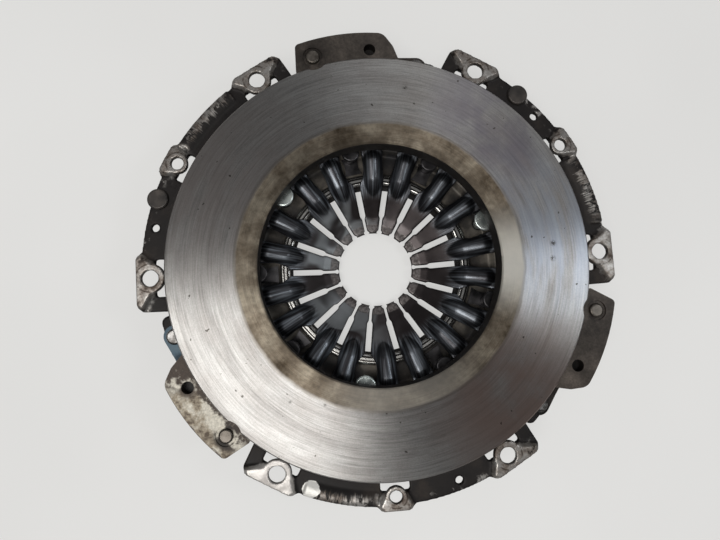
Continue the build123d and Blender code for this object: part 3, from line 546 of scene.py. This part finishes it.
outer_rim = cover.edge(cover.stray(cover.radius, across, 9.0), 132.5, 136.0)
hatched = cover.both(cover.step(streaks, 0.44, 0.50), cover.step(across, 0.34, 0.50))
scuffed = cover.both(outer_rim, cover.spot(*SCUFF_PLACE, 17.0, 6.0, first), hatched)
rubbed_edge = cover.both(cover.edge(cover.radius, 134.0, 139.0), cover.step(stains, 0.54, 0.62))
scraped = cover.edge(cover.stray(cover.away(*SCRAPED_PLACE), stains, 4.5), 5.2, 4.8)
above_flange = cover.edge(cover.z, -4.2, -3.2)
worn = cover.any(on_eyelet, cover.both(cover.any(scuffed, rubbed_edge, scraped), above_flange))
skin = cover.layer(worn, coat, cover.layer(scraped, bare, WHITE_METAL))
print("worn places of the cover set")

# %% [markdown]
# Down inside, between the necks of the fingers, the dome is covered in dust, and its colour is
# darkened there as painted shade. Its shoulder, seen through the slots, has fine rings of painted
# highlight between painted shade, for the light on its crests and the shade in its grooves. A sine
# of the radius makes them. The softened copy of the cover then takes its solid's place.

# %% Dome of the cover, and its softened copy
RING_PITCH_MM = 2.4
PAINTED_RING_SHADE = (0.03, 0.028, 0.026)
PAINTED_RING_HIGHLIGHT = (0.46, 0.45, 0.43)
in_dome = cover.both(
    cover.edge(cover.radius, 82.0, 79.0),
    cover.edge(cover.radius, 52.0, 54.0),
    cover.edge(cover.z, -29.4, -28.8),
)
# Dust, darkened further as painted shade down between the necks.
dust_and_depth_shade = cover.ramp(
    clouds, (0.38, (0.035, 0.034, 0.036)), (0.5, (0.09, 0.082, 0.072)), (0.62, (0.26, 0.235, 0.20))
)
waves = cover.math("SINE", cover.math("MULTIPLY", cover.radius, 2 * math.pi / (RING_PITCH_MM * MM)))
# Fine rings of painted highlight and painted shade for the shoulder's crests and grooves.
painted_ring_light_and_shade = cover.layer(cover.step(waves, -0.5, 0.2), PAINTED_RING_SHADE, PAINTED_RING_HIGHLIGHT)
shoulder = cover.both(in_dome, cover.edge(cover.radius, 62.0, 61.0))
shiny = cover.any(scraped, highlit_eyelet)
metallic = cover.layer(worn, 0.25, cover.layer(shiny, 0.8, 0.45))
coat_gloss = cover.ramp(clouds, (0.3, 0.42), (0.7, 0.6))
gloss = cover.layer(worn, coat_gloss, cover.ramp(stains, (0.4, 0.5), (0.6, 0.34)))
pressed = cover.surface(
    cover.layer(in_dome, skin, cover.layer(shoulder, dust_and_depth_shade, painted_ring_light_and_shade)),
    cover.layer(in_dome, metallic, cover.layer(shoulder, 0.3, 1.0)),
    cover.layer(in_dome, gloss, cover.layer(shoulder, 0.5, 0.25)),
    cover.math("ADD", grain, cover.math("MULTIPLY", stains, 2.0)),
    depth=0.10 * MM,
    strength=0.5,
)
cover.shader.inputs["Specular IOR Level"].default_value = 0.25
housing = merged_copy("cover", "pressed_cover")
soften(housing, cell_mm=0.8, rounds=2, limit=190000)
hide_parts("cover")
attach(housing, "root")
wear(housing, pressed)
print("cover finished")

# %% [markdown]
# The diaphragm spring is hardened steel, dipped in oil: dark and glossy on the bulged necks, with
# satin blue-grey patches of heat-treatment tone, painted only towards the left as a painted sheen,
# and a band rubbed by the release bearing at the fingertips. Like the cover it is pressed in one
# stroke, so it gets a softened copy too.

# %% Softened diaphragm
spring = merged_copy("diaphragm_spring", "diaphragm")
soften(spring, cell_mm=0.6, rounds=6, limit=180000)
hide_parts("diaphragm_spring")
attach(spring, "root")
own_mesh(spring)

# %% [markdown]
# Its finish goes inwards in three zones: the necks with faint streaks drawn along them under a
# thin coat of oil, the fingers, dark on the right and with satin patches towards the left, which are
# partly a painted sheen from the right window, and the rubbed tips.

# %% Finish of the diaphragm
COLD_OIL = (0.85, 0.92, 1.0, 1)
steel = Finish("oiled_spring_steel")
clouds = steel.noise(38.0, 3.0, 0.55)
patches = steel.noise(30.0, 2.0, 0.4, distortion=0.6)
grain = steel.noise(600.0, 4.0, 0.6)
drawn = steel.noise(3.0, 2.0, 0.4, steel.polar(16.0, 14.0))
dark = steel.ramp(
    clouds, (0.3, (0.022, 0.018, 0.018)), (0.55, (0.042, 0.036, 0.036)), (0.75, (0.075, 0.067, 0.067))
)
satin = steel.ramp(clouds, (0.3, (0.17, 0.178, 0.182)), (0.7, (0.31, 0.325, 0.335)))
# Satin patches of heat-treatment tone, painted only towards the left as a painted sheen.
satin_patch_and_sheen = steel.both(steel.step(patches, 0.44, 0.52), steel.edge(steel.x, 14.0, -26.0))
neck = steel.edge(steel.radius, 44.0, 52.0)
neck_steel = steel.ramp(
    drawn, (0.34, (0.035, 0.033, 0.036)), (0.5, (0.075, 0.077, 0.084)), (0.66, (0.22, 0.235, 0.255))
)
tip = steel.edge(steel.radius, 30.2, 29.2)
tip_steel = steel.ramp(grain, (0.4, (0.07, 0.06, 0.058)), (0.6, (0.17, 0.155, 0.15)))
colour = steel.layer(steel.faint(satin_patch_and_sheen, 0.85), dark, satin)
colour = steel.layer(neck, colour, neck_steel)
colour = steel.layer(steel.faint(tip, 0.8), colour, tip_steel)
finger_gloss = steel.layer(tip, steel.layer(satin_patch_and_sheen, 0.32, 0.42), 0.45)
neck_gloss = steel.ramp(clouds, (0.3, 0.33), (0.7, 0.45))
sprung = steel.surface(
    colour,
    0.9,
    steel.layer(neck, finger_gloss, neck_gloss),
    grain,
    depth=0.05 * MM,
    strength=0.3,
)
steel.feed(steel.shader.inputs["Coat Weight"], steel.faint(neck, 0.3))
steel.shader.inputs["Coat Roughness"].default_value = 0.3
steel.shader.inputs["Coat Tint"].default_value = COLD_OIL
wear(spring, sprung)
print("diaphragm finished")

# %% [markdown]
# Three packs of thin blued straps pull the plate round and let it lift. Each leaf is riveted to a
# ledge of the cover at one end and to a lug at the other, so it bends as the plate travels. A
# bend needs points along its length: a copy of each leaf is cut across every few millimetres by
# bisect.

# %% Strap leaves
LEAVES = 3
STRAP_CUTS = 24
OILY_PLACE = (130.0, 200.0)
strap = Finish("blued_strap")
clouds = strap.noise(80.0, 3.0, 0.55)
grain = strap.noise(900.0, 3.0, 0.6)
blue = strap.ramp(
    clouds, (0.3, (0.010, 0.016, 0.022)), (0.5, (0.026, 0.040, 0.052)), (0.7, (0.055, 0.075, 0.088))
)
oily = strap.ramp(clouds, (0.3, (0.018, 0.016, 0.015)), (0.7, (0.06, 0.05, 0.043)))
blued = strap.surface(
    strap.layer(strap.spot(*OILY_PLACE, 60.0, 10.0), oily, blue),
    0.8,
    strap.ramp(clouds, (0.3, 0.26), (0.7, 0.4)),
    grain,
    depth=0.03 * MM,
    strength=0.3,
)
for number, turn_angle in enumerate(segment_turns, start=1):
    (lug_mm, lug_angle), (anchor_mm, anchor_angle) = LUG_RIVET, ANCHOR_RIVET
    lug_end = around(lug_mm, lug_angle + turn_angle)
    anchor_end = around(anchor_mm, anchor_angle + turn_angle)
    run = lug_end - anchor_end
    for leaf in range(1, LEAVES + 1):
        node_name = f"strap_{number}_leaf_{leaf}"
        piece = merged_copy(node_name, f"bent_strap_{number}_leaf_{leaf}")
        bpy.ops.object.mode_set(mode="EDIT")
        for cut in range(1, STRAP_CUTS):
            bpy.ops.mesh.select_all(action="SELECT")
            spot = anchor_end + run * cut / STRAP_CUTS
            bpy.ops.mesh.bisect(plane_co=spot, plane_no=run.normalized())
        bpy.ops.object.mode_set(mode="OBJECT")
        bpy.ops.object.shade_smooth_by_angle(angle=math.radians(25))
        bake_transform(piece)
        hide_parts(node_name)
        wear(piece, blued)
print("leaves bend from the ledges to the lugs; triangles in one:", triangles(piece))

# %% [markdown]
# The small hardware: zinc-plated stop rivets that catch the light, dark rivets and saddle clips
# under the ring, bare rivets on the ledges, oxide-dark heads on the lugs, and the two pivot wires.
# Their shapes come from the frame; each gets its own finish with stains and a fine grain.

# %% Small hardware
def metal(name, shades, metallic, rough, scale=120.0):
    """A stained metal: three shades spread by a cloud, and a fine grain."""
    made = Finish(name)
    clouds = made.noise(scale, 4.0, 0.6)
    grain = made.noise(1100.0, 3.0, 0.6)
    colour = made.ramp(clouds, (0.32, shades[0]), (0.5, shades[1]), (0.7, shades[2]))
    gloss = made.ramp(clouds, (0.3, rough[0]), (0.7, rough[1]))
    return made.surface(colour, metallic, gloss, grain, depth=0.04 * MM, strength=0.35)


zinc_shades = ((0.46, 0.52, 0.50), (0.74, 0.80, 0.77), (0.88, 0.93, 0.90))
oxide_shades = ((0.03, 0.027, 0.025), (0.055, 0.048, 0.043), (0.10, 0.085, 0.075))
oiled_shades = ((0.02, 0.02, 0.021), (0.05, 0.048, 0.05), (0.10, 0.095, 0.10))
bare_shades = ((0.03, 0.027, 0.025), (0.10, 0.095, 0.09), (0.36, 0.35, 0.34))
wire_shades = ((0.12, 0.12, 0.12), (0.22, 0.22, 0.22), (0.34, 0.34, 0.34))
lug_shades = ((0.045, 0.038, 0.032), (0.10, 0.088, 0.075), (0.18, 0.16, 0.14))
zinc = metal("zinc_plate", zinc_shades, 0.85, (0.2, 0.34))
oxide = metal("dark_oxide", oxide_shades, 0.5, (0.38, 0.55))
oiled = metal("oiled_dark_steel", oiled_shades, 0.8, (0.24, 0.4))
bare_steel = metal("cold_headed_steel", bare_shades, 0.9, (0.2, 0.34), scale=260.0)
wire = metal("drawn_wire", wire_shades, 1.0, (0.25, 0.4))
lug_head = metal("lug_rivet_oxide", lug_shades, 0.8, (0.28, 0.42), scale=200.0)
for node_name, finish in {
    "stop_rivets": zinc,
    "spacer_rivets": oiled,
    "retaining_clips": oiled,
    "strap_anchor_rivets": bare_steel,
    "balance_rivets": oxide,
    "lug_rivets": lug_head,
    "fulcrum_ring_plate_side": wire,
    "fulcrum_ring_cover_side": wire,
}.items():
    wear(nodes[node_name], finish)
print("hardware finished")

# %% [markdown]
# The part lies on its collar on a sheet of pale board, which is one big plane. A board lit strongly
# enough to look this pale would also light the part from below, so only the camera sees it glow.

# %% Pale board
BOARD_GLOW = 1.13
GLOW_SHARE = 0.6
FLOOR_MM = cad_box[0].z / MM - 0.1
bpy.ops.object.select_all(action="DESELECT")
bpy.ops.mesh.primitive_plane_add(size=4.0, location=(0, 0, FLOOR_MM * MM))
board = bpy.context.active_object
board.name = "pale_board"
paper = Finish("pale_board")
clouds = paper.noise(3.0, 3.0, 0.5)
pale = paper.ramp(clouds, (0.3, (0.755, 0.75, 0.735)), (0.7, (0.80, 0.795, 0.78)))
wear(board, paper.surface(pale, 0.0, 0.7))
seen = paper.node("ShaderNodeLightPath").outputs["Is Camera Ray"]
glow = paper.node("ShaderNodeEmission", pale, BOARD_GLOW).outputs[0]
share = paper.faint(seen, GLOW_SHARE)
lifted = paper.node("ShaderNodeMixShader", share, paper.shader.outputs[0], glow)
paper.feed(paper.tree.nodes["Material Output"].inputs["Surface"], lifted.outputs[0])
print("board lies at", round(FLOOR_MM, 1), "mm")

# %% [markdown]
# The main light is a broad, slightly warm window beyond the lower left, which makes the long
# bright wedge across the grooves. A small cool one on the right makes the narrow wedge, a weak one
# behind lifts the shade, and the room fills the rest. Past the edge of the board the camera sees
# the room itself, lighter than it lights the part.

# %% Light
ROOM_LIGHT = 0.2
ROOM_SEEN = 0.78
PART_MIDDLE = (0, 0, 0)


def softbox(name, place, size, power, colour):
    """An area lamp aimed at the part: its width lies level, its height stands up from that."""
    lamp = bpy.data.lights.new(name, "AREA")
    lamp.shape = "RECTANGLE"
    lamp.size, lamp.size_y = size
    lamp.energy = power
    lamp.color = colour
    made = bpy.data.objects.new(name, lamp)
    bpy.context.scene.collection.objects.link(made)
    made.location = place
    made.rotation_euler = (Vector(PART_MIDDLE) - Vector(place)).to_track_quat("-Z", "Y").to_euler()


softbox("window_low_left", (-0.285, -0.25, 1.03), (0.7, 0.4), 5.6, (1.0, 0.985, 0.96))
softbox("window_right", (0.50, -0.012, 0.70), (0.2, 0.2), 0.75, (0.93, 0.97, 1.0))
softbox("window_top", (0.22, 0.66, 0.75), (0.5, 0.5), 0.5, (0.97, 0.98, 1.0))
world = bpy.data.worlds.new("room")
bpy.context.scene.world = world
world.use_nodes = True
room = world.node_tree.nodes["Background"]
room.inputs["Color"].default_value = (0.97, 0.98, 1.0, 1)
looks = world.node_tree.nodes.new("ShaderNodeLightPath").outputs["Is Camera Ray"]
level = world.node_tree.nodes.new("ShaderNodeMapRange")
level.inputs["To Min"].default_value = ROOM_LIGHT
level.inputs["To Max"].default_value = ROOM_SEEN
world.node_tree.links.new(looks, level.inputs["Value"])
world.node_tree.links.new(level.outputs[0], room.inputs["Strength"])
bpy.context.scene.view_settings.view_transform = "Standard"
